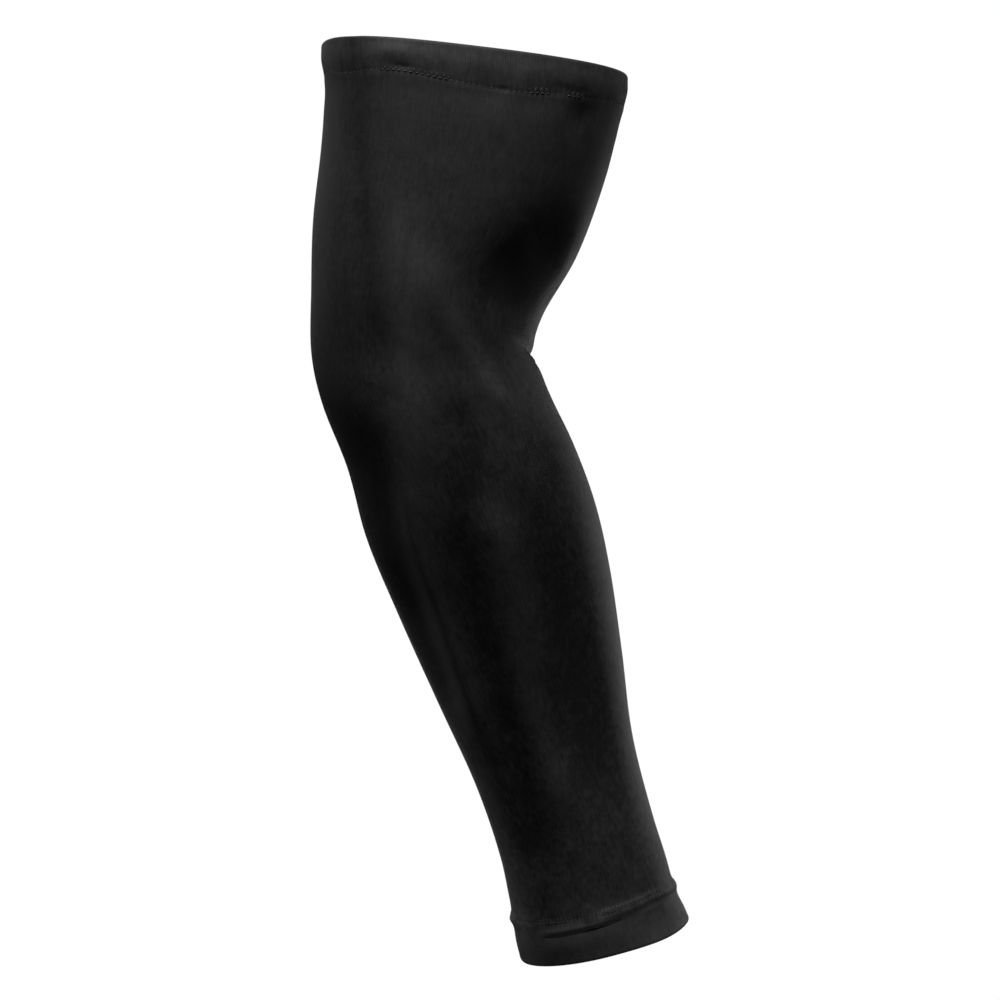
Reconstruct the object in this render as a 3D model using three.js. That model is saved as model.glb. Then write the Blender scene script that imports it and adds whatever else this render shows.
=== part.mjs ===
// A compression arm sleeve in its worn form: a knitted tube that follows a slightly bent arm, with a
// turned hem at each end. The wall is a closed skin, so the arm's hollow is open from rim to rim.
//
// Millimetres. +Z is up the arm, +X is forward (the way the elbow bends), +Y is inward, to the body.
// The origin is the middle of the upper opening.
import * as THREE from "three";

// Cloth
const KNIT = 1.0; // one layer of knit
const HEM_DEPTH = 15; // from the rim to the seam
const HEM_PROUD = 0.5; // how far the doubled hem stands out from the body
const HEM_LAP = 4; // how far the turned edge runs past the seam, inside the body
const SEAM_GAP = 0.3; // between the hem and the body
const RIM_ROUND = 0.6; // the fold's rounding at the rim
const BLACK_KNIT = 0x1d1d1f;
const BLACK_HEM = 0x222224; // a little lighter, as doubled cloth is

// Facets
const AROUND = 40; // facets round the sleeve
const HEM_RINGS = 6; // rings of facets down a hem
// The spacing of the body's rings of facets, down to each distance: close at the seams and the elbow.
const RING_STEPS = [
  { until: 28, step: 3 },
  { until: 101, step: 10.5 },
  { until: 142, step: 4 },
  { until: 193, step: 8 },
  { until: 338, step: 18 },
  { until: 356, step: 6 },
  { until: 371, step: 2 },
];

// One row for each section down the arm. down is the distance along the sleeve; rear and front are the
// section's rearmost and foremost points, [x, z]; inward is how far its middle lies towards the body;
// depth is its size across the arm; square is the power of its rounded outline (2 is an ellipse); skew
// moves its thickness towards the rear.
const SECTIONS = [
  { down: 0, rear: [-64.2, 6], front: [64.2, -6], inward: 0, depth: 102, square: 2.7, skew: 0.2 },
  { down: 15, rear: [-63.1, -9], front: [62.2, -20], inward: 0, depth: 102, square: 2.7, skew: 0.2 },
  { down: 28, rear: [-63.2, -22], front: [58.8, -33], inward: 0, depth: 102, square: 2.6, skew: 0.18 },
  { down: 42, rear: [-64.3, -36], front: [54.8, -48], inward: 0, depth: 101, square: 2.5, skew: 0.17 },
  { down: 74, rear: [-67.8, -67], front: [42.6, -81], inward: 0, depth: 98, square: 2.4, skew: 0.14 },
  { down: 101, rear: [-68.6, -95], front: [27.8, -107], inward: 0, depth: 93, square: 2.3, skew: 0.08 },
  { down: 122, rear: [-68.7, -121], front: [25, -122], inward: 1, depth: 88, square: 2.2, skew: 0 },
  { down: 142, rear: [-64.3, -142], front: [32, -139.5], inward: 3, depth: 89, square: 2.2, skew: 0 },
  { down: 164, rear: [-54.2, -168], front: [41, -158], inward: 6, depth: 90, square: 2.2, skew: 0 },
  { down: 193, rear: [-46.3, -198], front: [50.5, -183], inward: 11, depth: 87, square: 2.2, skew: 0 },
  { down: 226, rear: [-32.8, -231.5], front: [57, -210.5], inward: 17, depth: 79, square: 2.2, skew: 0 },
  { down: 264, rear: [-16.3, -269], front: [62.5, -246.5], inward: 24, depth: 69, square: 2.2, skew: 0 },
  { down: 303, rear: [0.2, -306], front: [67.5, -284], inward: 31, depth: 60, square: 2.2, skew: 0 },
  { down: 338, rear: [10.8, -338], front: [76.7, -319.5], inward: 37, depth: 54, square: 2.1, skew: 0 },
  { down: 356, rear: [14.2, -354], front: [82.6, -338], inward: 40, depth: 51, square: 2.1, skew: 0.03 },
  { down: 371, rear: [16.5, -366], front: [86.8, -353], inward: 42, depth: 50, square: 2.1, skew: 0.05 },
  { down: 386, rear: [19.4, -383], front: [93, -365], inward: 44.5, depth: 52, square: 2, skew: 0.05 },
];
const LENGTH = SECTIONS.at(-1).down;
const UPPER_SEAM = HEM_DEPTH;
const WRIST_SEAM = LENGTH - HEM_DEPTH;

// Where a seam runs out of level: rise is how far it is drawn up the arm at that turn, dying away over
// spread degrees to each side.
const SEAM_BOWS = [
  { seam: UPPER_SEAM, turn: 0, rise: 3, spread: 22 },
  { seam: UPPER_SEAM, turn: 65, rise: 1.6, spread: 17 },
  { seam: UPPER_SEAM, turn: 98, rise: -2.2, spread: 13 },
  { seam: UPPER_SEAM, turn: 122, rise: -0.8, spread: 18 },
  { seam: UPPER_SEAM, turn: 180, rise: 2.5, spread: 25 },
  { seam: WRIST_SEAM, turn: 135, rise: 3, spread: 45 },
];

// One row for each fold, hollow or ridge in the cloth. It follows a path of [down, turn] places, where
// turn is degrees round from the rear edge by way of the outer side (90) and the front (180); a turn over
// 360 goes on round past the rear edge. spread is its reach to each side, rise how far it stands out of
// the section or sinks into it, and fade the length over which its ends die away.
const FOLDS = [
  { name: "upper hem dent", path: [[20, 0], [20, 360]], spread: 5, rise: -0.3, fade: 0 },
  { name: "upper hem dimple", path: [[24, 121], [24, 142]], spread: 7, rise: -1.2, fade: 10 },
  { name: "hollow over crease", path: [[56, 152], [75, 140], [104, 108]], spread: 18, rise: -4, fade: 25 },
  { name: "elbow crease", path: [[111, 138], [122.6, 180], [115, 222]], spread: 4, rise: -1.3, fade: 20 },
  { name: "crease lip", path: [[124, 140], [131, 180], [126, 220]], spread: 5, rise: 0.5, fade: 20 },
  { name: "rear arm line", path: [[-15, 42], [42, 48], [95, 63], [132, 72]],
    spread: 6, rise: -1.2, fade: 20 },
  { name: "outer arm ridge",
    path: [[60, 75], [118, 85], [140, 81], [165, 65], [210, 56], [250, 52], [290, 45]],
    spread: 8, rise: 2.2, fade: 30 },
  { name: "elbow to front ridge", path: [[78, 83], [95, 91], [120, 112], [138, 121], [155, 123]],
    spread: 6, rise: 1.6, fade: 20 },
  { name: "front forearm ridge", path: [[170, 90], [195, 97], [240, 92], [270, 87], [330, 86]],
    spread: 8, rise: 2.2, fade: 25 },
  { name: "forearm hollow", path: [[130, 103], [155, 98], [200, 82], [250, 71], [285, 70], [350, 55]],
    spread: 8, rise: -2.2, fade: 25 },
  { name: "rear forearm hollow", path: [[135, 52], [190, 41], [245, 36]], spread: 12, rise: -2, fade: 30 },
  { name: "front forearm hollow", path: [[138, 142], [170, 134], [200, 122], [245, 115], [335, 116]],
    spread: 12, rise: -2.2, fade: 30 },
  { name: "inner hollow over crease", path: [[60, 212], [80, 224], [104, 246]],
    spread: 16, rise: -2.5, fade: 25 },
  { name: "inner arm ridge", path: [[72, 284], [118, 274], [145, 280], [190, 298], [250, 306]],
    spread: 8, rise: 1.6, fade: 30 },
  { name: "inner forearm ridge", path: [[175, 262], [220, 258], [300, 268]],
    spread: 8, rise: 1.6, fade: 30 },
  { name: "inner forearm hollow", path: [[140, 258], [190, 278], [250, 286], [330, 296]],
    spread: 8, rise: -1.6, fade: 30 },
  { name: "wrist swell", path: [[370, 0], [370, 360]], spread: 4.5, rise: 0.5, fade: 0 },
  { name: "wrist roll",
    path: [[369.4, 75], [368.2, 105], [366.2, 135], [366.4, 160], [369.2, 220], [369.2, 385]],
    spread: 2.2, rise: 1.1, fade: 15 },
  { name: "wrist overhang", path: [[373, 40], [371.4, 80], [370.1, 106]],
    spread: 1.8, rise: 0.9, fade: 12 },
  { name: "wrist tuck", path: [[374.6, 46], [372.9, 80], [371.6, 106]], spread: 1.2, rise: -0.6, fade: 12 },
  { name: "wrist hem swell", path: [[378, 40], [376.2, 80], [375, 110]], spread: 4, rise: 0.5, fade: 14 },
];

// The section table as smooth curves: one evaluation gives every column at a distance down the sleeve.
const columns = (row) => [...row.rear, ...row.front, row.inward, row.depth, row.square, row.skew];
const shape = new THREE.CubicInterpolant(
  SECTIONS.map((row) => row.down),
  SECTIONS.flatMap(columns),
  columns(SECTIONS[0]).length,
);

function middleAt(down) {
  const [rearX, rearZ, frontX, frontZ, inward] = shape.evaluate(down);
  return new THREE.Vector3((rearX + frontX) / 2, inward, (rearZ + frontZ) / 2);
}

// The section's middle, its half sizes and its two directions: forward along its width, outward across.
function sectionAt(down) {
  const step = 0.5;
  const within = THREE.MathUtils.clamp(down, 0, LENGTH);
  const along = middleAt(within + step).sub(middleAt(within - step));
  const middle = middleAt(within);
  const [rearX, rearZ, frontX, frontZ, , depth, square, skew] = shape.evaluate(within);
  const forward = new THREE.Vector3(frontX - rearX, 0, frontZ - rearZ);
  const halfWidth = forward.length() / 2;
  const outward = new THREE.Vector3().crossVectors(along, forward).normalize();
  return { middle, forward: forward.normalize(), outward, halfWidth, halfDepth: depth / 2, square, skew };
}

// A place on the section's rounded outline, before any fold.
function outlinePoint(down, turn) {
  const { middle, forward, outward, halfWidth, halfDepth, square, skew } = sectionAt(down);
  const angle = THREE.MathUtils.degToRad(turn);
  const rounded = (value) => Math.sign(value) * Math.abs(value) ** (2 / square);
  const across = -rounded(Math.cos(angle));
  const out = rounded(Math.sin(angle)) * (1 - skew * across);
  return middle.addScaledVector(forward, halfWidth * across).addScaledVector(outward, halfDepth * out);
}

function outlineNormal(down, turn) {
  const step = 1;
  const downwards = outlinePoint(down + step, turn).sub(outlinePoint(down - step, turn));
  const round = outlinePoint(down, turn + step).sub(outlinePoint(down, turn - step));
  return downwards.cross(round).normalize();
}

// The same turn, counted so that it lies within half a turn of another one.
function turnNear(turn, middle) {
  return THREE.MathUtils.euclideanModulo(turn - middle + 180, 360) - 180 + middle;
}

// How far one fold lifts the cloth at a place: a soft ridge over the nearest stretch of its path.
function liftOf({ path, spread, rise, fade }, down, turn, flat) {
  const turns = path.map((corner) => corner[1]);
  const middle = (Math.min(...turns) + Math.max(...turns)) / 2;
  const place = flat([down, turnNear(turn, middle)]);
  let away = Infinity;
  let reached = 0;
  let length = 0;
  for (let i = 1; i < path.length; i++) {
    const start = flat(path[i - 1]);
    const run = flat(path[i]).sub(start);
    const share = THREE.MathUtils.clamp(place.clone().sub(start).dot(run) / run.lengthSq(), 0, 1);
    const distance = place.distanceTo(start.addScaledVector(run, share));
    if (distance < away) {
      away = distance;
      reached = length + share * run.length();
    }
    length += run.length();
  }
  const strength = fade ? THREE.MathUtils.smoothstep(Math.min(reached, length - reached), 0, fade) : 1;
  return rise * strength * Math.exp(-((away / spread) ** 2));
}

// How far all the folds lift the cloth at a place, with distances measured on the cloth laid flat.
function foldRise(down, turn) {
  const { halfWidth, halfDepth } = sectionAt(down);
  const millimetresPerDegree = (Math.PI * (halfWidth + halfDepth)) / 360;
  const flat = ([d, t]) => new THREE.Vector2(d, t * millimetresPerDegree);
  return FOLDS.reduce((sum, fold) => sum + liftOf(fold, down, turn, flat), 0);
}

// How far the bows of the seams draw the cloth near them up the arm.
function bowAt(down, turn) {
  return SEAM_BOWS.reduce((sum, bow) => {
    const nearness = Math.max(0, 1 - Math.abs(down - bow.seam) / HEM_DEPTH);
    const away = turnNear(turn, bow.turn) - bow.turn;
    return sum + bow.rise * nearness * Math.exp(-((away / bow.spread) ** 2));
  }, 0);
}

function skinPoint(down, turn, inset) {
  const drawn = down - bowAt(down, turn);
  const lift = foldRise(drawn, turn) - inset;
  return outlinePoint(drawn, turn).addScaledVector(outlineNormal(drawn, turn), lift);
}

// A closed skin round the arm. profile is the wall's cross-section as [down, inset] corners, outside
// first.
function skinGeometry(profile) {
  const points = [];
  const triangles = [];
  profile.forEach(([down, inset], i) => {
    for (let j = 0; j < AROUND; j++) {
      points.push(skinPoint(down, (360 * j) / AROUND, inset));
      const here = i * AROUND;
      const next = ((i + 1) % profile.length) * AROUND;
      const k = (j + 1) % AROUND;
      triangles.push(here + j, next + j, here + k, here + k, next + j, next + k);
    }
  });
  const geometry = new THREE.BufferGeometry().setFromPoints(points);
  geometry.setIndex(triangles);
  geometry.computeVertexNormals();
  return geometry;
}

// The distances of the body's rings of facets. No ring comes closer than half a step to the next stretch.
function ringsBetween(start, end) {
  const downs = [start];
  for (const { until, step } of RING_STEPS) {
    const last = Math.min(until, end) - step / 2;
    while (downs.at(-1) + step <= last) downs.push(downs.at(-1) + step);
  }
  return [...downs, end];
}

function bodyProfile() {
  const downs = ringsBetween(UPPER_SEAM + SEAM_GAP, WRIST_SEAM - SEAM_GAP);
  const outside = downs.map((down) => [down, 0]);
  const inside = downs.map((down) => [down, KNIT]).reverse();
  return [...outside, ...inside];
}

// The hem is the knit turned inwards at the rim: two layers from the rim to the seam, of which the inner
// one runs on past the seam behind the body. towards is 1 where the body lies below the rim, or else -1.
function hemProfile(rim, towards) {
  const face = -HEM_PROUD;
  const back = 2 * KNIT - HEM_PROUD;
  const lapFace = KNIT + SEAM_GAP;
  const lapBack = lapFace + KNIT;
  const outside = [];
  const inside = [];
  for (let n = 0; n < HEM_RINGS; n++) {
    const reach = THREE.MathUtils.lerp(RIM_ROUND, HEM_DEPTH, n / HEM_RINGS);
    outside.push([reach, face]);
    inside.unshift([reach, back]);
  }
  const lapEnd = HEM_DEPTH + HEM_LAP;
  const lapMiddle = HEM_DEPTH + HEM_LAP / 2;
  const lapOutside = [[HEM_DEPTH, face], [HEM_DEPTH, lapFace], [lapMiddle, lapFace], [lapEnd, lapFace]];
  const lapInside = [[lapEnd, lapBack], [lapMiddle, lapBack], [HEM_DEPTH, lapBack]];
  const fold = [[0, back - RIM_ROUND], [0, face + RIM_ROUND]];
  const profile = [...outside, ...lapOutside, ...lapInside, ...inside, ...fold];
  const placed = profile.map(([reach, inset]) => [rim + towards * reach, inset]);
  return towards > 0 ? placed : placed.reverse();
}

// A piece of the sleeve in its own colour.
function piece(name, profile, colour) {
  const material = new THREE.MeshStandardMaterial({ color: colour, roughness: 0.85, metalness: 0 });
  const mesh = new THREE.Mesh(skinGeometry(profile), material);
  mesh.name = name;
  return mesh;
}

const sleeve = new THREE.Group();
sleeve.name = "arm_sleeve";
sleeve.add(
  piece("sleeve_body", bodyProfile(), BLACK_KNIT),
  piece("upper_hem", hemProfile(0, 1), BLACK_HEM),
  piece("wrist_hem", hemProfile(LENGTH, -1), BLACK_HEM),
);

export default sleeve;
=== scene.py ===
# The arm sleeve's looks: fine knit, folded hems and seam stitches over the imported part.
# The section and fold tables repeat the part's own, in millimetres; vertices are written in metres.
import math
from collections import namedtuple
from itertools import pairwise

import bmesh
import bpy
import numpy as np
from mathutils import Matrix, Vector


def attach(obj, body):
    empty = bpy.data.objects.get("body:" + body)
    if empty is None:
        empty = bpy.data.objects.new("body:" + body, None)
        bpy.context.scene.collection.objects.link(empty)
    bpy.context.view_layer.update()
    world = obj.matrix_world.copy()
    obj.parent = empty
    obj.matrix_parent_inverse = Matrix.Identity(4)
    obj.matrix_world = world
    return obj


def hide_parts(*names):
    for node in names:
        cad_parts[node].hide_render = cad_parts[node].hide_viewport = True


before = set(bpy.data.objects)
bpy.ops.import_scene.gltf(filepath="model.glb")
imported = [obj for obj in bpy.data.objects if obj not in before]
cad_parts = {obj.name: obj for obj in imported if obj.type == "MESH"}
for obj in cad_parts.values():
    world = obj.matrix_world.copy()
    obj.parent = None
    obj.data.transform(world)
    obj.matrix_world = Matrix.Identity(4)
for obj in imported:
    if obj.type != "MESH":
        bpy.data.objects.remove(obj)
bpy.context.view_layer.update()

MM = 0.001

# Cloth
KNIT = 1.0  # one layer of knit
HEM_DEPTH = 15.0  # from the rim to the seam
HEM_PROUD = 0.5  # how far the doubled hem stands out from the body
HEM_LAP = 4.0  # how far the turned edge runs past the seam, inside the body
SEAM_GAP = 0.06  # between the hem and the body, where the stitches draw them together
LAP_GAP = 0.3  # between the hem's turned edge and the body over it
LAP_SLOPE = 0.3  # how far past the seam the turned edge has come under the body
LAYER_GAP = 0.1  # between the hem's two layers
RIM_REACH = 1.6  # how far down the hem the fold at its rim reaches
OUTER_LAYER_TO = 13.0  # how far down the hem the back of its outer layer lies level
INNER_LAYER_TO = 12.0  # how far down its inner layer does, before it slopes in under the body
CUT_EDGE = 0.03  # the rounding of a cut edge

# Seams
GROOVE_DEPTH = 0.14  # how deep the stitches draw the cloth in
GROOVE_REACH = 1.0
PUCKER_DEPTH = 0.07  # how much deeper it goes at each stitch
PUCKER_REACH = 2.4
SEAM_WANDER = 0.18  # unevenness along a seam
WANDER_REACH = 7.0
WANDER_WAVES = range(4, 26)  # how many times round the sleeve each wave of it repeats
WRIST_STITCH_RISE = 2.8  # how far up the arm from the wrist seam its stitches run

# Stitches
THREAD_RADIUS = 0.17
THREAD_TAPER = 0.35  # the power of its taper: the lower, the fuller its ends
THREAD_BLUNT = 0.12  # how far into the taper's half wave it starts and stops, in radians
RUN_MARGIN = 0.06  # share of a stitch left free at each end of its run along the seam
RUN_RISE = 0.42  # how far the middle of a run arches up
TICK_LENGTH = 1.9  # a stitch's short leg, up the arm
TICK_SHARES = (0.8, 1.1)  # the shortest and the longest leg, as shares of that
TICK_SLANT = 0.12  # how far a leg leans to either side, as a share of a stitch
TICK_RISE = 0.34  # how far the middle of a leg arches up
TICK_ARCH = 0.6  # the power of its arch
STITCH_BED = 0.14  # how deep the ends of the thread lie
STITCH_SINK = 0.34  # how much deeper the thread lies where it doesn't stand out

# Facets
BODY_AROUND = 480
HEM_AROUND = 960
TURN_STEPS = 1440  # steps in which the way round the sleeve is measured
THREAD_SIDES = 6
THREAD_RINGS = 8
HEM_COARSE_TO = 10.0  # the rings of a hem's face are wide apart from the rim to here
HEM_COARSE_RINGS = 11
HEM_FINE_FROM = 10.3  # and close together from here to the seam
HEM_FINE_RINGS = 20
LAYER_RINGS = 4  # along each of the hem's hidden faces
INNER_BACK_RINGS = 8  # along the face that shows inside the sleeve
RIM_RINGS = 9  # round the fold at the rim
RingStep = namedtuple("RingStep", "until step")
OUTSIDE_STEPS = [
    RingStep(20, 0.6),
    RingStep(30, 1.4),
    RingStep(100, 3.5),
    RingStep(142, 1.6),
    RingStep(345, 4),
    RingStep(362, 1.6),
    RingStep(371, 0.55),
]
INSIDE_STEPS = [
    RingStep(30, 3),
    RingStep(100, 10),
    RingStep(142, 4),
    RingStep(345, 12),
    RingStep(371, 1.8),
]

# One row for each section down the arm: its distance along the sleeve, its rearmost and foremost points
# as (x, z), how far inward its middle lies, its size across the arm, the power of its rounded outline
# (2 is an ellipse), and how far its thickness moves to the rear.
Section = namedtuple("Section", "down rear front inward depth square skew")
SECTIONS = [
    Section(0, (-64.2, 6), (64.2, -6), 0, 102, 2.7, 0.2),
    Section(15, (-63.1, -9), (62.2, -20), 0, 102, 2.7, 0.2),
    Section(28, (-63.2, -22), (58.8, -33), 0, 102, 2.6, 0.18),
    Section(42, (-64.3, -36), (54.8, -48), 0, 101, 2.5, 0.17),
    Section(74, (-67.8, -67), (42.6, -81), 0, 98, 2.4, 0.14),
    Section(101, (-68.6, -95), (27.8, -107), 0, 93, 2.3, 0.08),
    Section(122, (-68.7, -121), (25, -122), 1, 88, 2.2, 0),
    Section(142, (-64.3, -142), (32, -139.5), 3, 89, 2.2, 0),
    Section(164, (-54.2, -168), (41, -158), 6, 90, 2.2, 0),
    Section(193, (-46.3, -198), (50.5, -183), 11, 87, 2.2, 0),
    Section(226, (-32.8, -231.5), (57, -210.5), 17, 79, 2.2, 0),
    Section(264, (-16.3, -269), (62.5, -246.5), 24, 69, 2.2, 0),
    Section(303, (0.2, -306), (67.5, -284), 31, 60, 2.2, 0),
    Section(338, (10.8, -338), (76.7, -319.5), 37, 54, 2.1, 0),
    Section(356, (14.2, -354), (82.6, -338), 40, 51, 2.1, 0.03),
    Section(371, (16.5, -366), (86.8, -353), 42, 50, 2.1, 0.05),
    Section(386, (19.4, -383), (93, -365), 44.5, 52, 2, 0.05),
]
LENGTH = SECTIONS[-1].down
UPPER_SEAM = HEM_DEPTH
WRIST_SEAM = LENGTH - HEM_DEPTH

# Where a seam runs out of level: rise is how far it is drawn up the arm at that turn, and spread is how
# many degrees away that falls to about a third.
SeamBow = namedtuple("SeamBow", "seam turn rise spread")
SEAM_BOWS = [
    SeamBow(UPPER_SEAM, 0, 3, 22),
    SeamBow(UPPER_SEAM, 65, 1.6, 17),
    SeamBow(UPPER_SEAM, 98, -2.2, 13),
    SeamBow(UPPER_SEAM, 122, -0.8, 18),
    SeamBow(UPPER_SEAM, 180, 2.5, 25),
    SeamBow(WRIST_SEAM, 135, 3, 45),
]

# One row for each fold, hollow or ridge. The path's places are (down, turn), where turn is degrees round
# from the rear edge by way of the outer side (90) and the front (180). Over 360 it goes on past the rear
# edge. rise is how far the cloth is lifted along the path, spread is how far to its side that falls to
# about a third, and fade is how far from each end of the path the full rise is reached.
Fold = namedtuple("Fold", "name path spread rise fade")
FOLDS = [
    Fold("upper hem dent", [(20, 0), (20, 360)], 5, -0.3, 0),
    Fold("upper hem dimple", [(24, 121), (24, 142)], 7, -1.2, 10),
    Fold("hollow over crease", [(56, 152), (75, 140), (104, 108)], 18, -4, 25),
    Fold("elbow crease", [(111, 138), (122.6, 180), (115, 222)], 4, -1.3, 20),
    Fold("crease lip", [(124, 140), (131, 180), (126, 220)], 5, 0.5, 20),
    Fold("rear arm line", [(-15, 42), (42, 48), (95, 63), (132, 72)], 6, -1.2, 20),
    Fold(
        "outer arm ridge",
        [(60, 75), (118, 85), (140, 81), (165, 65), (210, 56), (250, 52), (290, 45)],
        spread=8, rise=2.2, fade=30,
    ),
    Fold("elbow to front ridge", [(78, 83), (95, 91), (120, 112), (138, 121), (155, 123)], 6, 1.6, 20),
    Fold("front forearm ridge", [(170, 90), (195, 97), (240, 92), (270, 87), (330, 86)], 8, 2.2, 25),
    Fold(
        "forearm hollow",
        [(130, 103), (155, 98), (200, 82), (250, 71), (285, 70), (350, 55)],
        spread=8, rise=-2.2, fade=25,
    ),
    Fold("rear forearm hollow", [(135, 52), (190, 41), (245, 36)], 12, -2, 30),
    Fold(
        "front forearm hollow",
        [(138, 142), (170, 134), (200, 122), (245, 115), (335, 116)],
        spread=12, rise=-2.2, fade=30,
    ),
    Fold("inner hollow over crease", [(60, 212), (80, 224), (104, 246)], 16, -2.5, 25),
    Fold("inner arm ridge", [(72, 284), (118, 274), (145, 280), (190, 298), (250, 306)], 8, 1.6, 30),
    Fold("inner forearm ridge", [(175, 262), (220, 258), (300, 268)], 8, 1.6, 30),
    Fold("inner forearm hollow", [(140, 258), (190, 278), (250, 286), (330, 296)], 8, -1.6, 30),
    Fold("wrist swell", [(370, 0), (370, 360)], 4.5, 0.5, 0),
    Fold(
        "wrist roll",
        [(369.4, 75), (368.2, 105), (366.2, 135), (366.4, 160), (369.2, 220), (369.2, 385)],
        spread=2.2, rise=1.1, fade=15,
    ),
    Fold("wrist overhang", [(373, 40), (371.4, 80), (370.1, 106)], 1.8, 0.9, 12),
    Fold("wrist tuck", [(374.6, 46), (372.9, 80), (371.6, 106)], 1.2, -0.6, 12),
    Fold("wrist hem swell", [(378, 40), (376.2, 80), (375, 110)], 4, 0.5, 14),
]
# Finer creases, which only the looks have.
CREASES = [
    Fold("hem swell", [(5.5, 54), (5.8, 78)], 3.5, 0.4, 8),
    Fold("hem dent", [(11.7, 63), (11.9, 77)], 1.3, -0.4, 8),
    Fold("front hem dent", [(13.5, 112), (13.5, 134)], 2, -0.22, 6),
    Fold("seam dent", [(16.6, 94), (16.6, 100)], 1.1, -0.25, 3),
    Fold("outer arm crease", [(72, 79.5), (92, 82.5), (112, 86)], 1.6, -0.5, 12),
    Fold("upper elbow line", [(92, 85), (108, 89), (130, 95)], 3.2, 0.6, 14),
    Fold("outer forearm line", [(158, 65), (185, 59), (225, 56.5), (275, 52)], 3.8, 0.95, 20),
    Fold("rear forearm dip", [(195, 38), (240, 38), (278, 34)], 10, -1.6, 25),
    Fold("forearm crease", [(248, 97), (305, 95)], 5, -1.2, 18),
    Fold("elbow fold", [(117.5, 152), (122.2, 180), (117.5, 212)], 1.4, -0.8, 14),
    Fold("elbow fold lip", [(120.5, 156), (124.6, 180), (120.5, 206)], 1.3, 0.6, 12),
    Fold("wrist crest", [(367.4, 78), (366.1, 105), (364.2, 135), (364.5, 152)], 0.9, 0.5, 12),
    Fold("wrist fold", [(374.6, 48), (372.9, 80), (371.6, 108)], 0.45, -2.8, 9),
    Fold("front wrist lip", [(371.5, 112), (370, 150)], 1.4, 0.3, 10),
    Fold("wrist rim flare", [(387, 95), (387, 165)], 8, 2, 20),
]


# Shape of the cloth


def unit(vectors):
    return vectors / np.linalg.norm(vectors, axis=-1, keepdims=True)


def smoothstep(share):
    share = np.clip(share, 0, 1)
    return share * share * (3 - 2 * share)


DOWNS = np.array([row.down for row in SECTIONS], float)
ROWS = np.array(
    [(*row.rear, *row.front, row.inward, row.depth, row.square, row.skew) for row in SECTIONS]
)
CHORDS = np.diff(ROWS, axis=0) / np.diff(DOWNS)[:, None]
SLOPES = (np.vstack([CHORDS[:1], CHORDS]) + np.vstack([CHORDS, CHORDS[-1:]])) / 2


def columns_at(down):
    """Every column of the section table at each distance, on smooth curves."""
    down = np.clip(down, DOWNS[0], DOWNS[-1])
    row = np.clip(np.searchsorted(DOWNS, down, side="right") - 1, 0, len(DOWNS) - 2)
    gap = (DOWNS[row + 1] - DOWNS[row])[..., None]
    p = (down - DOWNS[row])[..., None] / gap
    start = ROWS[row] * (2 * p**3 - 3 * p**2 + 1) + SLOPES[row] * gap * (p**3 - 2 * p**2 + p)
    end = ROWS[row + 1] * (3 * p**2 - 2 * p**3) + SLOPES[row + 1] * gap * (p**3 - p**2)
    return np.moveaxis(start + end, -1, 0)


def middle_at(down):
    rear_x, rear_z, front_x, front_z, inward = columns_at(down)[:5]
    return np.stack([(rear_x + front_x) / 2, inward, (rear_z + front_z) / 2], -1)


def outline_point(down, turn):
    """A place on the section's rounded outline, before any fold."""
    down = np.clip(down, 0, LENGTH)
    rear_x, rear_z, front_x, front_z, _, depth, square, skew = columns_at(down)
    along = middle_at(down + 0.5) - middle_at(down - 0.5)
    width = np.stack([front_x - rear_x, np.zeros_like(rear_x), front_z - rear_z], -1)
    outward = unit(np.cross(along, width))
    angle = np.radians(turn)
    across = -np.sign(np.cos(angle)) * np.abs(np.cos(angle)) ** (2 / square)
    out = np.sign(np.sin(angle)) * np.abs(np.sin(angle)) ** (2 / square) * (1 - skew * across)
    return middle_at(down) + width * (across / 2)[..., None] + outward * (depth / 2 * out)[..., None]


def outline_normal(down, turn):
    """The way out of the outline, from places a millimetre and a degree to either side."""
    downwards = outline_point(down + 1, turn) - outline_point(down - 1, turn)
    round_arm = outline_point(down, turn + 1) - outline_point(down, turn - 1)
    return unit(np.cross(downwards, round_arm))


def lift_of(fold, down, turn, mm_per_degree):
    """How far one fold lifts the cloth: a soft ridge over the nearest stretch of its path."""
    turns = [place[1] for place in fold.path]
    middle = (min(turns) + max(turns)) / 2
    turn = (turn - middle + 180) % 360 - 180 + middle
    away = np.full(down.shape, np.inf)
    reached = np.zeros(down.shape)
    length = np.zeros(down.shape)
    for (down_0, turn_0), (down_1, turn_1) in pairwise(fold.path):
        run = down_1 - down_0
        sweep = (turn_1 - turn_0) * mm_per_degree
        ahead = down - down_0
        aside = (turn - turn_0) * mm_per_degree
        share = np.clip((ahead * run + aside * sweep) / (run**2 + sweep**2), 0, 1)
        distance = np.hypot(ahead - share * run, aside - share * sweep)
        nearer = distance < away
        reached = np.where(nearer, length + share * np.hypot(run, sweep), reached)
        away = np.where(nearer, distance, away)
        length = length + np.hypot(run, sweep)
    strength = smoothstep(np.minimum(reached, length - reached) / fold.fade) if fold.fade else 1
    return fold.rise * strength * np.exp(-((away / fold.spread) ** 2))


def fold_rise(folds, down, turn):
    """How far these folds lift the cloth, with distances measured on the cloth laid flat."""
    rear_x, rear_z, front_x, front_z, _, depth = columns_at(down)[:6]
    width = np.hypot(front_x - rear_x, front_z - rear_z)
    mm_per_degree = math.pi * (width + depth) / 2 / 360
    return sum(lift_of(fold, down, turn, mm_per_degree) for fold in folds)


def bow_at(down, turn):
    """How far the bows of the seams draw the cloth near them up the arm."""
    drawn = np.zeros_like(down)
    for bow in SEAM_BOWS:
        nearness = np.maximum(0, 1 - np.abs(down - bow.seam) / HEM_DEPTH)
        away = (turn - bow.turn + 180) % 360 - 180
        drawn = drawn + bow.rise * nearness * np.exp(-((away / bow.spread) ** 2))
    return drawn


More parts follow.
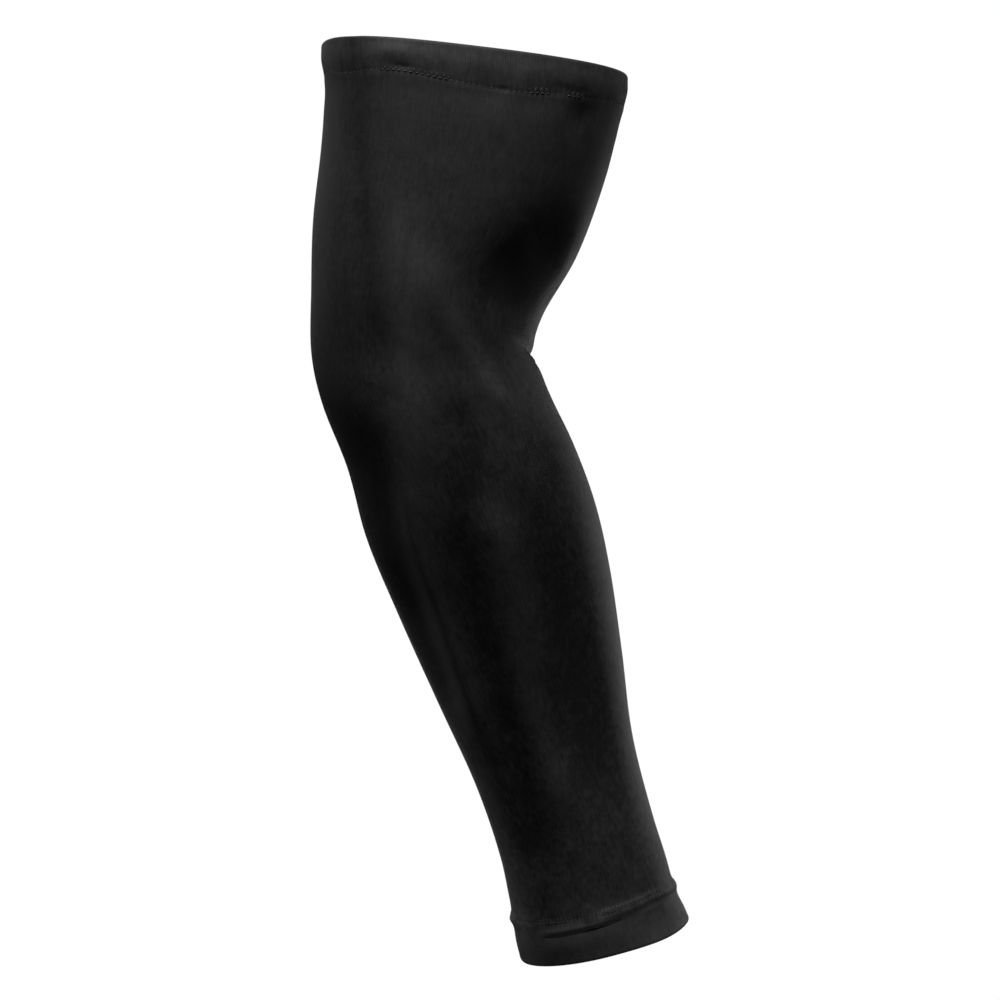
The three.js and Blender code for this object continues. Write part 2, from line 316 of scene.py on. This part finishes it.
def skin_point(down, turn, inset):
    """A place in the folded cloth, this far in from the body's outer face."""
    drawn = down - bow_at(down, turn)
    lift = fold_rise(FOLDS + CREASES, drawn, turn) - inset
    return outline_point(drawn, turn) + outline_normal(drawn, turn) * lift[..., None]


def even_turns(down, shares):
    """The turns that lie at these shares of the way round the sleeve."""
    fine = np.linspace(0, 360, TURN_STEPS + 1)
    ring = outline_point(np.full_like(fine, down), fine)
    run = np.concatenate([[0], np.cumsum(np.linalg.norm(np.diff(ring, axis=0), axis=-1))])
    return np.interp(shares * run[-1], run, fine)


# Seams

Seam = namedtuple("Seam", "down stitches seed")
SEAMS = {
    "upper": Seam(UPPER_SEAM, 160, 11),
    "wrist": Seam(WRIST_SEAM - WRIST_STITCH_RISE, 120, 23),
}
# Where the thread stands out of the knit, for about spread degrees to either side of turn. Elsewhere it
# has sunk in.
Standing = namedtuple("Standing", "seam turn spread")
STANDING = [
    Standing("upper", 27, 4),
    Standing("upper", 69, 9),
    Standing("upper", 82, 4),
    Standing("upper", 109, 4),
    Standing("upper", 125, 4),
    Standing("upper", 215, 12),
    Standing("upper", 290, 9),
    Standing("wrist", 60, 12),
    Standing("wrist", 99, 7),
    Standing("wrist", 240, 15),
    Standing("wrist", 310, 8),
]


def wander(shares, seed):
    """A smooth unevenness round the sleeve, about one either way."""
    phases = np.random.default_rng(seed).random(len(WANDER_WAVES))
    waves = [
        math.sqrt(1 / repeats) * np.sin(2 * math.pi * (repeats * shares + phase))
        for repeats, phase in zip(WANDER_WAVES, phases)
    ]
    return sum(waves) / math.sqrt(sum(1 / repeats for repeats in WANDER_WAVES) / 2)


def seam_dip(down, shares):
    """How far the stitches draw the outer face of the cloth in."""
    dip = np.zeros(np.broadcast(down, shares).shape)
    for seam in SEAMS.values():
        away = np.abs(down - seam.down)
        groove = GROOVE_DEPTH * np.exp(-((away / GROOVE_REACH) ** 2))
        pucker = PUCKER_DEPTH * np.exp(-((away / PUCKER_REACH) ** 2))
        uneven = SEAM_WANDER * np.exp(-((away / WANDER_REACH) ** 2))
        dip += groove + pucker * np.cos(2 * math.pi * seam.stitches * shares)
        dip += uneven * wander(shares, seam.seed)
    return dip


# Mesh building

WEAVE = "Weave"  # the map of the knit, round the sleeve and down it, or of the thread, along and round it
FOLD_SHADE_LAYER = "stretch"  # how far the folds lift the cloth, which stretches it; the knit's colour follows it, lighter on ridges and darker in hollows and creases, partly stretch and partly painted highlight and painted shade


def mesh_object(name, points, faces, uvs, material):
    mesh = bpy.data.meshes.new(name)
    mesh.from_pydata((points * MM).tolist(), [], faces.tolist())
    mesh.uv_layers.new(name=WEAVE).uv.foreach_set("vector", uvs.astype(np.float32).ravel())
    mesh.polygons.foreach_set("use_smooth", np.ones(len(mesh.polygons), bool))
    mesh.materials.append(material)
    mesh.update()
    built = bpy.data.objects.new(name, mesh)
    bpy.context.scene.collection.objects.link(built)
    return built


Corner = namedtuple("Corner", "down inset sewn")  # sewn is how much of the stitches' pull shows here


def skin_object(name, profile, around, material):
    """A closed skin round the arm. profile is the wall's cross-section, outside first."""
    shares = np.arange(around) / around
    rings = []
    fold_shades = []
    for corner in profile:
        down = np.full(around, float(corner.down))
        turns = even_turns(corner.down, shares)
        inset = corner.inset + corner.sewn * seam_dip(corner.down, shares)
        rings.append(skin_point(down, turns, inset))
        fold_shades.append(fold_rise(FOLDS + CREASES, down - bow_at(down, turns), turns))
    points = np.concatenate(rings)
    here = np.arange(len(profile))[:, None] * around
    below = (here + around) % len(points)
    side = np.arange(around)[None, :]
    next_side = (side + 1) % around
    quads = [here + side, below + side, below + next_side, here + next_side]
    faces = np.stack(quads, -1).reshape(-1, 4)
    grid = (len(profile), around)
    v = np.array([corner.down / LENGTH for corner in profile])
    here_v = np.broadcast_to(v[:, None], grid)
    below_v = np.broadcast_to(np.roll(v, -1)[:, None], grid)
    left = np.broadcast_to(shares, grid)
    right = left + 1 / around
    corners = [(left, here_v), (left, below_v), (right, below_v), (right, here_v)]
    uvs = np.stack([np.stack(corner, -1) for corner in corners], 2)
    skin = mesh_object(name, points, faces, uvs, material)
    # Keep each point's fold lift for the knit's colour, which turns it into painted highlight on ridges
    # and painted shade in hollows and creases
    attribute = skin.data.attributes.new(FOLD_SHADE_LAYER, "FLOAT", "POINT")
    attribute.data.foreach_set("value", np.concatenate(fold_shades).astype(np.float32))
    return skin


def rings_between(start, end, steps):
    """Distances of rings. None comes closer than half a step to the next stretch."""
    downs = [start]
    for stretch in steps:
        last = min(stretch.until, end) - stretch.step / 2
        while downs[-1] + stretch.step <= last:
            downs.append(downs[-1] + stretch.step)
    return [*downs, end]


def body_profile():
    start = UPPER_SEAM + SEAM_GAP / 2
    end = WRIST_SEAM - SEAM_GAP / 2
    downs = rings_between(start, end, OUTSIDE_STEPS)
    downs = [start, start + CUT_EDGE, *downs[1:-1], end - CUT_EDGE, end]
    outside = [Corner(down, 0, 1) for down in downs]
    inside = [Corner(down, KNIT, 0) for down in rings_between(start, end, INSIDE_STEPS)]
    return [*outside, *reversed(inside)]


def hem_face(reach):
    """The inset of the hem's outer face: a little puffed, and lowest at the seam."""
    off_middle = (reach - HEM_DEPTH / 2) / (HEM_DEPTH / 2)
    return -HEM_PROUD * (1 + np.cos(math.pi * off_middle)) / 2


def level_run(start, end, rings, inset):
    """A stretch of the hem's profile at one inset, which the stitches don't pull."""
    return [(reach, inset, 0) for reach in np.linspace(start, end, rings)]


def rim_fold(face, back):
    """The rounded fold at the rim, from the hem's back to its face."""
    middle = (back + face) / 2
    radius = (back - face) / 2
    angles = np.linspace(0, math.pi, RIM_RINGS + 2)[1:-1]
    return [
        (RIM_REACH * (1 - math.sin(angle)), middle + radius * math.cos(angle), 0) for angle in angles
    ]


def hem_profile(rim, towards):
    """The knit turned inwards at the rim: an outer layer down to the seam, and an inner one past it."""
    layer = KNIT - LAYER_GAP / 2
    back = 2 * KNIT - HEM_PROUD
    lap_face = KNIT + LAP_GAP
    lap_start = HEM_DEPTH + LAP_SLOPE
    lap_end = HEM_DEPTH + HEM_LAP
    coarse = np.linspace(RIM_REACH, HEM_COARSE_TO, HEM_COARSE_RINGS)
    fine = np.linspace(HEM_FINE_FROM, HEM_DEPTH - CUT_EDGE, HEM_FINE_RINGS)
    loop = [
        # The outer layer: its face, its sewn edge and its back
        *[(reach, hem_face(reach), 1) for reach in (*coarse, *fine, HEM_DEPTH)],
        (HEM_DEPTH, KNIT - LAYER_GAP, 0),
        *level_run(OUTER_LAYER_TO, RIM_REACH, LAYER_RINGS, back - KNIT - LAYER_GAP),
        # The inner layer: its face, both sides of its lap and its back
        *level_run(RIM_REACH, INNER_LAYER_TO, LAYER_RINGS, back - layer),
        *level_run(lap_start, lap_end, LAYER_RINGS, lap_face),
        *level_run(lap_end, lap_start, LAYER_RINGS, lap_face + layer),
        *level_run(INNER_LAYER_TO, RIM_REACH, INNER_BACK_RINGS, back),
        *rim_fold(hem_face(RIM_REACH), back),
    ]
    profile = [Corner(rim + towards * reach, inset, sewn) for reach, inset, sewn in loop]
    return profile if towards > 0 else profile[::-1]


def thread_object(name, paths, normals, material):
    """Thread along many paths at once: closed tubes with pinched ends, joined into one mesh."""
    count, rings = paths.shape[:2]
    tangents = unit(np.gradient(paths, axis=1))
    across = unit(np.cross(tangents, normals))
    up = np.cross(across, tangents)
    half_wave = np.linspace(THREAD_BLUNT, math.pi - THREAD_BLUNT, rings)
    radii = np.sin(half_wave) ** THREAD_TAPER * THREAD_RADIUS
    angles = 2 * math.pi * np.arange(THREAD_SIDES) / THREAD_SIDES
    spokes = across[:, :, None] * np.cos(angles)[:, None] + up[:, :, None] * np.sin(angles)[:, None]
    points = (paths[:, :, None] + spokes * radii[:, None, None]).reshape(-1, 3)
    tube = np.arange(count)[:, None, None] * rings * THREAD_SIDES
    ring = tube + np.arange(rings - 1)[:, None] * THREAD_SIDES
    next_ring = ring + THREAD_SIDES
    side = np.arange(THREAD_SIDES)
    next_side = (side + 1) % THREAD_SIDES
    quads = [ring + side, ring + next_side, next_ring + next_side, next_ring + side]
    faces = np.stack(quads, -1).reshape(-1, 4)
    grid = (count, rings - 1, THREAD_SIDES)
    along = np.broadcast_to((np.arange(rings - 1) / (rings - 1))[:, None], grid)
    turned = np.broadcast_to(side / THREAD_SIDES, grid)
    next_along = along + 1 / (rings - 1)
    next_turned = turned + 1 / THREAD_SIDES
    corners = [(along, turned), (along, next_turned), (next_along, next_turned), (next_along, turned)]
    uvs = np.stack([np.stack(corner, -1) for corner in corners], 3)
    thread = mesh_object(name, points, faces, uvs, material)
    close_ends(thread.data)
    return thread


def close_ends(mesh):
    work = bmesh.new()
    work.from_mesh(mesh)
    bmesh.ops.holes_fill(work, edges=[edge for edge in work.edges if edge.is_boundary], sides=0)
    bmesh.ops.recalc_face_normals(work, faces=work.faces)
    work.to_mesh(mesh)
    work.free()


def face_inset(down):
    """The inset of the cloth's outer face, on the body and on both hems."""
    reach = np.minimum(down, LENGTH - down)
    return np.where(reach < HEM_DEPTH, hem_face(np.minimum(reach, HEM_DEPTH)), 0)


def stitch_height(name, turns):
    """The thread's height against where it stands out: none there, and below it elsewhere."""
    stands = np.zeros_like(turns)
    for standing in STANDING:
        if standing.seam == name:
            stands = np.maximum(stands, np.exp(-(((turns - standing.turn) / standing.spread) ** 4)))
    return STITCH_SINK * (stands - 1)


def stitches_object(name, material):
    """A row of stitches: a run of thread along the seam, and a short leg up the arm from each one."""
    seam = SEAMS[name]
    way = np.linspace(0, 1, THREAD_RINGS)
    arch = np.sin(math.pi * way)
    random = np.random.default_rng(seam.seed + 1)
    starts = np.arange(seam.stitches)[:, None] / seam.stitches
    slant = random.uniform(-TICK_SLANT, TICK_SLANT, starts.shape) / seam.stitches
    length = random.uniform(*TICK_SHARES, starts.shape) * TICK_LENGTH
    runs = starts + (RUN_MARGIN + (1 - 2 * RUN_MARGIN) * way) / seam.stitches
    ticks = starts + slant * way
    shares = np.concatenate([runs, ticks])
    down = seam.down - np.concatenate([np.zeros_like(runs), length * way])
    run_rise = np.broadcast_to(RUN_RISE * arch, runs.shape)
    tick_rise = np.broadcast_to(TICK_RISE * arch**TICK_ARCH, ticks.shape)
    turns = even_turns(seam.down, shares % 1)
    height = np.concatenate([run_rise, tick_rise]) - STITCH_BED + stitch_height(name, turns)
    points = skin_point(down, turns, face_inset(down) + seam_dip(down, shares) - height)
    normals = outline_normal(down - bow_at(down, turns), turns)
    return thread_object(f"{name}_hem_stitches", points, normals, material)


# Materials


def node_material(name):
    material = bpy.data.materials.new(name)
    material.use_nodes = True
    return material, material.node_tree.nodes, material.node_tree.links


def math_node(nodes, links, operation, *values):
    node = nodes.new("ShaderNodeMath")
    node.operation = operation
    for socket, value in zip(node.inputs, values):
        if isinstance(value, (int, float)):
            socket.default_value = value
        else:
            links.new(value, socket)
    return node.outputs[0]


def sine_of(nodes, links, value, factor):
    return math_node(nodes, links, "SINE", math_node(nodes, links, "MULTIPLY", value, factor))


def noise(nodes, links, coordinates, scale, stretch=(1, 1, 1), detail=2.0):
    mapping = nodes.new("ShaderNodeMapping")
    mapping.inputs["Scale"].default_value = stretch
    links.new(coordinates, mapping.inputs["Vector"])
    texture = nodes.new("ShaderNodeTexNoise")
    texture.inputs["Scale"].default_value = scale
    texture.inputs["Detail"].default_value = detail
    links.new(mapping.outputs["Vector"], texture.inputs["Vector"])
    return texture.outputs["Fac"]


def ramp(nodes, links, value, dark, light, low=0.35, high=0.65):
    node = nodes.new("ShaderNodeValToRGB")
    node.color_ramp.elements[0].position = low
    node.color_ramp.elements[0].color = (*dark, 1)
    node.color_ramp.elements[1].position = high
    node.color_ramp.elements[1].color = (*light, 1)
    links.new(value, node.inputs["Fac"])
    return node.outputs["Color"]


def weave_map(nodes, links):
    """The map of the knit or the thread, and its two numbers apart."""
    weave = nodes.new("ShaderNodeUVMap")
    weave.uv_map = WEAVE
    place = nodes.new("ShaderNodeSeparateXYZ")
    links.new(weave.outputs["UV"], place.inputs["Vector"])
    return weave.outputs["UV"], place.outputs["X"], place.outputs["Y"]


def add_bump(nodes, links, height, strength, depth):
    bump = nodes.new("ShaderNodeBump")
    bump.inputs["Strength"].default_value = strength
    bump.inputs["Distance"].default_value = depth * MM
    links.new(height, bump.inputs["Height"])
    links.new(bump.outputs["Normal"], nodes["Principled BSDF"].inputs["Normal"])


# The knit's relief: ribs, with the loops and the fuzz as shares of a rib's height
WALES = 400  # columns of loops round the sleeve
COURSES = 740  # rows of loops down it
LOOP_SHARE = 0.12
FUZZ_SHARE = 0.9
FUZZ_SCALE = 900
KNIT_RELIEF = 0.12
KNIT_RELIEF_STRENGTH = 0.35

# The knit's colour: a tone between dark and light, with three noises for its grain. It is lighter on the
# folds' ridges and darker in their hollows and creases, partly the knit's stretch and partly painted
# highlight and painted shade
KNIT_DARK = (0.008, 0.008, 0.0085)
MOTTLE_SCALE = 120
MOTTLE_SHARE = 0.35
BLOTCH_SCALE = 400
BLOTCH_SHARE = 0.4
STREAK_SCALE = (330, 60, 1)  # round the sleeve, and down it
STREAK_SHARE = 0.55
GRAIN_MIDDLE = 0.65  # about the mean of the three noises together
LEVEL_TONE = 0.42  # where no fold lifts the cloth
SHADE_PER_MM = 0.15  # how much lighter the knit gets for each millimetre of lift, and darker for each millimetre sunk: partly stretch, partly painted highlight and painted shade
DARK_TONE = 0.05  # where the tone is all dark
SMOOTHEST = 0.56  # the least roughness
MOTTLE_ROUGHNESS = 0.16  # what the mottle adds to it

# The thread
THREAD_DARK = (0.05, 0.05, 0.052)
THREAD_LIGHT = (0.09, 0.09, 0.093)
THREAD_TWISTS = 5  # turns of its strands in a stitch
THREAD_RELIEF = 0.05
THREAD_RELIEF_STRENGTH = 0.4


def knit_material(name, light, sheen, grain_at_top, grain_gain):
    """Fine rib. The grain of its colour grows by grain_gain from the upper rim to the wrist. Its tone
    follows the folds' lift: painted highlight on ridges and painted shade in hollows and creases, with
    some of it the knit's stretch.
    """
    material, nodes, links = node_material(name)
    shader = nodes["Principled BSDF"]
    weave, across, down = weave_map(nodes, links)
    coordinates = nodes.new("ShaderNodeTexCoord").outputs["Object"]

    column = math_node(nodes, links, "MULTIPLY", across, WALES)
    off_column = math_node(nodes, links, "PINGPONG", column, 0.5)
    rib = sine_of(nodes, links, off_column, math.pi)
    row = math_node(nodes, links, "MULTIPLY_ADD", down, COURSES, off_column)
    loop = sine_of(nodes, links, row, 2 * math.pi)
    fuzz = noise(nodes, links, coordinates, FUZZ_SCALE, detail=4)
    height = math_node(nodes, links, "MULTIPLY_ADD", loop, LOOP_SHARE, rib)
    height = math_node(nodes, links, "MULTIPLY_ADD", fuzz, FUZZ_SHARE, height)
    add_bump(nodes, links, height, KNIT_RELIEF_STRENGTH, KNIT_RELIEF)

    mottle = noise(nodes, links, coordinates, MOTTLE_SCALE, detail=5)
    blotch = noise(nodes, links, coordinates, BLOTCH_SCALE)
    streaks = noise(nodes, links, weave, 1, stretch=STREAK_SCALE, detail=3)
    grain = math_node(nodes, links, "MULTIPLY", mottle, MOTTLE_SHARE)
    grain = math_node(nodes, links, "MULTIPLY_ADD", blotch, BLOTCH_SHARE, grain)
    grain = math_node(nodes, links, "MULTIPLY_ADD", streaks, STREAK_SHARE, grain)
    uneven = math_node(nodes, links, "SUBTRACT", grain, GRAIN_MIDDLE)
    contrast = math_node(nodes, links, "MULTIPLY_ADD", down, grain_gain, grain_at_top)
    # The folds' lift, turned into painted highlight on ridges and painted shade in hollows and creases,
    # partly the knit's stretch
    lift = nodes.new("ShaderNodeAttribute")
    lift.attribute_name = FOLD_SHADE_LAYER
    fold_shaded = math_node(nodes, links, "MULTIPLY_ADD", lift.outputs["Fac"], SHADE_PER_MM, LEVEL_TONE)
    tone = math_node(nodes, links, "MULTIPLY_ADD", uneven, contrast, fold_shaded)
    links.new(ramp(nodes, links, tone, KNIT_DARK, light, DARK_TONE, 1), shader.inputs["Base Color"])

    rough = math_node(nodes, links, "MULTIPLY_ADD", mottle, MOTTLE_ROUGHNESS, SMOOTHEST)
    links.new(rough, shader.inputs["Roughness"])
    shader.inputs["Specular IOR Level"].default_value = 0.35
    shader.inputs["Sheen Weight"].default_value = sheen
    shader.inputs["Sheen Roughness"].default_value = 0.45
    return material


def thread_material():
    material, nodes, links = node_material("seam_thread")
    shader = nodes["Principled BSDF"]
    _, along, turned = weave_map(nodes, links)
    twist = math_node(nodes, links, "MULTIPLY_ADD", along, THREAD_TWISTS, turned)
    strand = sine_of(nodes, links, twist, 2 * math.pi)
    add_bump(nodes, links, strand, THREAD_RELIEF_STRENGTH, THREAD_RELIEF)
    colour = ramp(nodes, links, strand, THREAD_DARK, THREAD_LIGHT, 0, 1)
    links.new(colour, shader.inputs["Base Color"])
    shader.inputs["Roughness"].default_value = 0.42
    shader.inputs["Specular IOR Level"].default_value = 0.5
    shader.inputs["Sheen Weight"].default_value = 0.2
    return material


def floor_material():
    material, nodes, links = node_material("pale_floor")
    shader = nodes["Principled BSDF"]
    coordinates = nodes.new("ShaderNodeTexCoord").outputs["Object"]
    clouds = noise(nodes, links, coordinates, 6)
    colour = ramp(nodes, links, clouds, (0.8, 0.8, 0.8), (0.83, 0.83, 0.83))
    links.new(colour, shader.inputs["Base Color"])
    shader.inputs["Roughness"].default_value = 0.9
    shader.inputs["Emission Color"].default_value = (1, 1, 1, 1)
    shader.inputs["Emission Strength"].default_value = 0.55
    return material


# Pieces


def build_sleeve():
    knit = knit_material(
        "black_knit", light=(0.056, 0.056, 0.058), sheen=0.05, grain_at_top=0.85, grain_gain=1.6
    )
    hem_knit = knit_material(
        "black_hem_knit", light=(0.077, 0.077, 0.079), sheen=0.06, grain_at_top=1, grain_gain=0
    )
    thread = thread_material()
    body = skin_object("sleeve_body_cloth", body_profile(), BODY_AROUND, knit)
    upper_hem = skin_object("upper_hem_cloth", hem_profile(0, 1), HEM_AROUND, hem_knit)
    wrist_hem = skin_object("wrist_hem_cloth", hem_profile(LENGTH, -1), HEM_AROUND, hem_knit)
    upper_stitches = stitches_object("upper", thread)
    wrist_stitches = stitches_object("wrist", thread)

    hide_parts("sleeve_body")
    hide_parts("upper_hem")
    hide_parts("wrist_hem")
    for piece in (body, upper_hem, wrist_hem, upper_stitches, wrist_stitches):
        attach(piece, "root")


# Studio, in metres, watts and degrees

Lamp = namedtuple("Lamp", "name place aim size power spread")
LAMPS = [
    Lamp("top_softbox", (-0.08, -0.5, 0.85), (0, 0, -0.17), (0.6, 0.6), 11.5, 180),
    Lamp("right_strip", (0.75, 0.5, -0.1), (0.03, 0.02, -0.25), (0.25, 0.9), 0.13, 180),
    Lamp("wrist_strip", (0.5, 0.35, -0.25), (0.07, 0.04, -0.31), (0.15, 0.3), 0.04, 40),
    Lamp("left_strip", (-0.75, 0.5, -0.1), (-0.03, 0.02, -0.15), (0.25, 0.6), 0.11, 180),
    Lamp("right_arm_strip", (0.48, 0.82, -0.25), (0.03, 0.03, -0.06), (0.25, 0.25), 0.026, 30),
    Lamp("left_elbow_strip", (-0.3, 0.9, -0.45), (-0.04, 0.03, -0.19), (0.25, 0.25), 0.009, 30),
    Lamp("right_hem_strip", (0.7, 0.45, 0.02), (0.06, 0.02, -0.02), (0.2, 0.2), 0.004, 12),
    Lamp("left_hem_strip", (-0.7, 0.45, 0.05), (-0.06, 0.02, 0.0), (0.2, 0.2), 0.003, 10),
    Lamp("left_wrist_strip", (-0.45, 0.25, -0.38), (0.02, 0.04, -0.39), (0.15, 0.3), 0.028, 24),
    Lamp("wrist_fill", (0.42, -0.55, -0.47), (0.07, 0.03, -0.38), (0.2, 0.2), 0.018, 22),
    Lamp("back_softbox", (-0.05, 0.75, 0.8), (0, 0.03, -0.17), (0.6, 0.6), 9, 180),
]
FLOOR_RADIUS = 1.5
FLOOR_SIDES = 96
FLOOR_Z = -0.7
WORLD_LIGHT = 0.02  # how much the world lights the sleeve
BACKDROP = 1.01  # how bright the world is behind it
CAMERA_DISTANCE = 1.2
FRAME_WIDTH = 0.42  # what the picture spans at the sleeve
FRAME_MIDDLE = (0.0105, -0.183)  # the picture's middle, as (x, z)
SENSOR_WIDTH = 36


def area_light(lamp):
    light = bpy.data.lights.new(lamp.name, "AREA")
    light.spread = math.radians(lamp.spread)
    light.shape = "RECTANGLE"
    light.size, light.size_y = lamp.size
    light.energy = lamp.power
    holder = bpy.data.objects.new(lamp.name, light)
    holder.location = lamp.place
    direction = Vector(lamp.aim) - Vector(lamp.place)
    holder.rotation_euler = direction.to_track_quat("-Z", "Y").to_euler()
    bpy.context.scene.collection.objects.link(holder)


def build_floor():
    mesh = bpy.data.meshes.new("floor")
    edge = np.radians(np.arange(FLOOR_SIDES) * 360 / FLOOR_SIDES)
    level = np.full_like(edge, FLOOR_Z)
    ring = np.stack([FLOOR_RADIUS * np.cos(edge), FLOOR_RADIUS * np.sin(edge), level], -1)
    mesh.from_pydata(ring.tolist(), [], [list(range(FLOOR_SIDES))])
    mesh.materials.append(floor_material())
    floor = bpy.data.objects.new("floor", mesh)
    floor.visible_diffuse = False
    floor.visible_glossy = False
    bpy.context.scene.collection.objects.link(floor)


def build_world():
    world = bpy.data.worlds.new("studio")
    world.use_nodes = True
    nodes, links = world.node_tree.nodes, world.node_tree.links
    background = nodes["Background"]
    background.inputs["Color"].default_value = (1, 1, 1, 1)
    seen = nodes.new("ShaderNodeLightPath").outputs["Is Camera Ray"]
    level = math_node(nodes, links, "MULTIPLY_ADD", seen, BACKDROP - WORLD_LIGHT, WORLD_LIGHT)
    links.new(level, background.inputs["Strength"])
    bpy.context.scene.world = world
    bpy.context.scene.view_settings.view_transform = "Standard"


def build_camera():
    camera = bpy.data.cameras.new("photo_camera")
    camera.sensor_width = SENSOR_WIDTH
    camera.lens = SENSOR_WIDTH * CAMERA_DISTANCE / FRAME_WIDTH
    holder = bpy.data.objects.new("photo_camera", camera)
    holder.location = (FRAME_MIDDLE[0], -CAMERA_DISTANCE, FRAME_MIDDLE[1])
    holder.rotation_euler = (math.pi / 2, 0, 0)
    bpy.context.scene.collection.objects.link(holder)
    bpy.context.scene.camera = holder


build_sleeve()
for lamp in LAMPS:
    area_light(lamp)
build_floor()
build_world()
build_camera()
